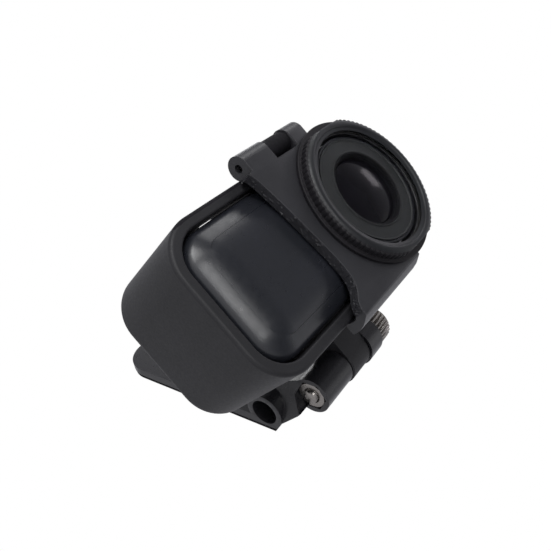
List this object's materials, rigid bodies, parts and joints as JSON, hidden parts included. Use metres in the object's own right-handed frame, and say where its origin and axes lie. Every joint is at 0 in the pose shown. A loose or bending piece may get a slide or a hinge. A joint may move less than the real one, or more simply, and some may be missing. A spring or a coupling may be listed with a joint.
{
  "type": "backup camera",
  "caption": "Thumb-size rounded camera in an open cradle with a hinged lens strap, a screw-on lens guard and a pivoting stick-on base.",
  "frame": {"origin": "middle of the adhesive face of the stick-on base", "axes": "+X across the camera towards the pivot bolt, +Y from the camera's front to its back, +Z along the camera's length towards the lens end"},
  "size_m": [0.0467, 0.0702, 0.0569],
  "materials": {
    "cradle_plastic": "satin black moulded nylon",
    "strap_plastic": "satin black moulded nylon, grainy on its cut edges",
    "base_plastic": "satin black moulded nylon",
    "adhesive_foam": "black acrylic foam tape",
    "nut_steel": "bright zinc-plated steel",
    "bolt_steel": "knurled nickel-plated steel",
    "pin_steel": "plain steel pin",
    "front_shell_gloss": "glossy blue-black",
    "rear_shell_plastic": "glossy black",
    "key_gloss": "glossy blue-black",
    "seal_rubber": "black silicone",
    "guard_metal": "black anodised, knurled",
    "guard_window": "coated flat glass",
    "bezel_coat": "matte dark grey",
    "barrel_plastic": "matte black",
    "lens_glass": "purple-coated glass",
    "inner_lens_glass": "coated glass",
    "filter_glass": "pale green filter glass",
    "holder_plastic": "matte black",
    "sensor_silicon": "dark silicon",
    "board_green": "solder mask",
    "chip_epoxy": "black epoxy",
    "can_tin": "tin-plated steel",
    "spreader_copper": "copper foil",
    "battery_foil": "laminated foil pouch",
    "speaker_plastic": "black",
    "switch_steel": "stamped steel",
    "mic_steel": "gold-flashed can",
    "contact_gold": "gold-plated",
    "screw_steel": "blackened steel"
  },
  "bodies": {
    "base": {"base_plate": "base_plastic", "adhesive_pad": "adhesive_foam", "pivot_nut": "nut_steel"},
    "clamp_bolt": {"pivot_bolt": "bolt_steel"},
    "cradle": {"cradle_frame": "cradle_plastic", "hinge_pin": "pin_steel", "camera_front_shell": "front_shell_gloss", "lens_housing": "front_shell_gloss", "camera_rear_shell": "rear_shell_plastic", "charge_contacts": "contact_gold", "case_gasket": "seal_rubber", "case_screws": "screw_steel", "key_switch": "switch_steel", "lens_bezel": "bezel_coat", "lens_barrel": "barrel_plastic", "lens_retainer": "barrel_plastic", "lens_front": "lens_glass", "lens_middle": "inner_lens_glass", "lens_spacer": "barrel_plastic", "lens_rear": "inner_lens_glass", "lens_holder": "holder_plastic", "ir_filter": "filter_glass", "image_sensor": "sensor_silicon", "sensor_board": "board_green", "main_board": "board_green", "shield_can": "can_tin", "board_chips": "chip_epoxy", "heat_spreader": "spreader_copper", "battery": "battery_foil", "speaker": "speaker_plastic", "microphone": "mic_steel"},
    "key": {"front_key": "key_gloss"},
    "door": {"door_strap": "strap_plastic"},
    "guard": {"guard_ring": "guard_metal", "guard_glass": "guard_window", "guard_gasket": "seal_rubber"}
  },
  "joints": [
    {"name": "bolt_turn", "type": "hinge", "parent": "base", "child": "clamp_bolt", "pos_m": [0.01303, -0.02741, 0], "axis": [0, 0, 1], "continuous": true},
    {"name": "cradle_pivot", "type": "hinge", "parent": "base", "child": "cradle", "pos_m": [0.01303, -0.02741, 0.0025], "axis": [0, 0, 1], "range_deg": [-12, 90]},
    {"name": "door_hinge", "type": "hinge", "parent": "cradle", "child": "door", "pos_m": [-0.02681, -0.04821, 0.0032], "axis": [0, 0, -1], "range_deg": [0, 110]},
    {"name": "guard_twist", "type": "hinge", "parent": "door", "child": "guard", "pos_m": [-0.01017, -0.05171, 0.01275], "axis": [0, -1, 0], "continuous": true},
    {"name": "key_press", "type": "slide", "parent": "cradle", "child": "key", "axis": [0, 1, 0], "range_m": [0, 0.00035], "stiffness_N_per_m": 3000, "springref_m": -0.0001}
  ]
}
